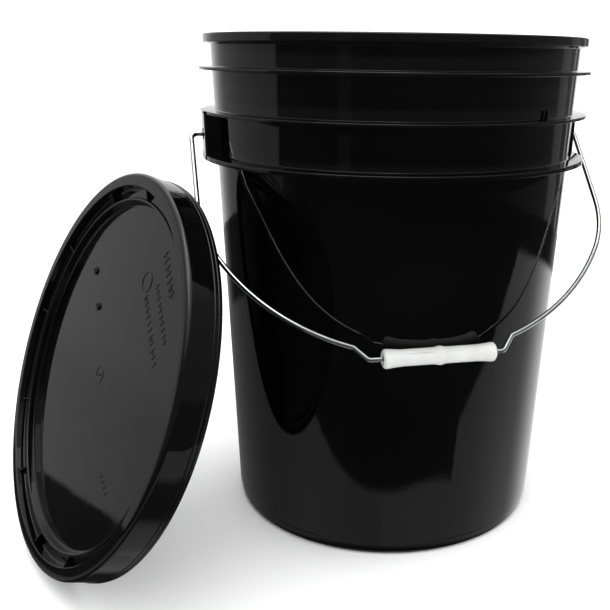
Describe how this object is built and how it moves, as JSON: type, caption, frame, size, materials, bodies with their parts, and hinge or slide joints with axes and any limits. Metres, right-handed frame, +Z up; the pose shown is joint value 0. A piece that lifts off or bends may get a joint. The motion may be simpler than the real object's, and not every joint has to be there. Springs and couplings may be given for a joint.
{
  "type": "fermenting bucket",
  "caption": "Tapered black plastic fermenting bucket with a rolled rim, stacking flanges, a wire bail with a plastic grip, and a gasketed press-on lid leaning beside it.",
  "frame": {"origin": "centre of the bucket's base, on the surface it stands on", "axes": "+Z up along the bucket's axis; +X along the axis that the bail turns on; -Y is the front, where the bail hangs, and the lid leans on the -X side"},
  "size_m": [0.5003, 0.3707, 0.396],
  "materials": {
    "bucket_plastic": "glossy moulded",
    "wire_steel": "bright zinc-plated wire",
    "grip_plastic": "satin moulded",
    "lid_plastic": "glossy moulded",
    "gasket_rubber": "matt"
  },
  "bodies": {
    "bucket": {"bucket_body": "bucket_plastic"},
    "bail": {"bail_wire": "wire_steel"},
    "grip": {"bail_grip": "grip_plastic"},
    "lid": {"lid_shell": "lid_plastic", "lid_gasket": "gasket_rubber"}
  },
  "joints": [
    {"name": "bail_swing", "type": "hinge", "parent": "bucket", "child": "bail", "pos_m": [0, 0, 0.3227], "axis": [-1, 0, 0], "range_deg": [0, 267.5]},
    {"name": "grip_spin", "type": "hinge", "parent": "bail", "child": "grip", "pos_m": [0, -0.14827, 0.17897], "axis": [1, 0, 0], "continuous": true},
    {"name": "lid_lift", "type": "slide", "parent": "bucket", "child": "lid", "axis": [0, 0, 1], "range_m": [0, 0.3]}
  ]
}
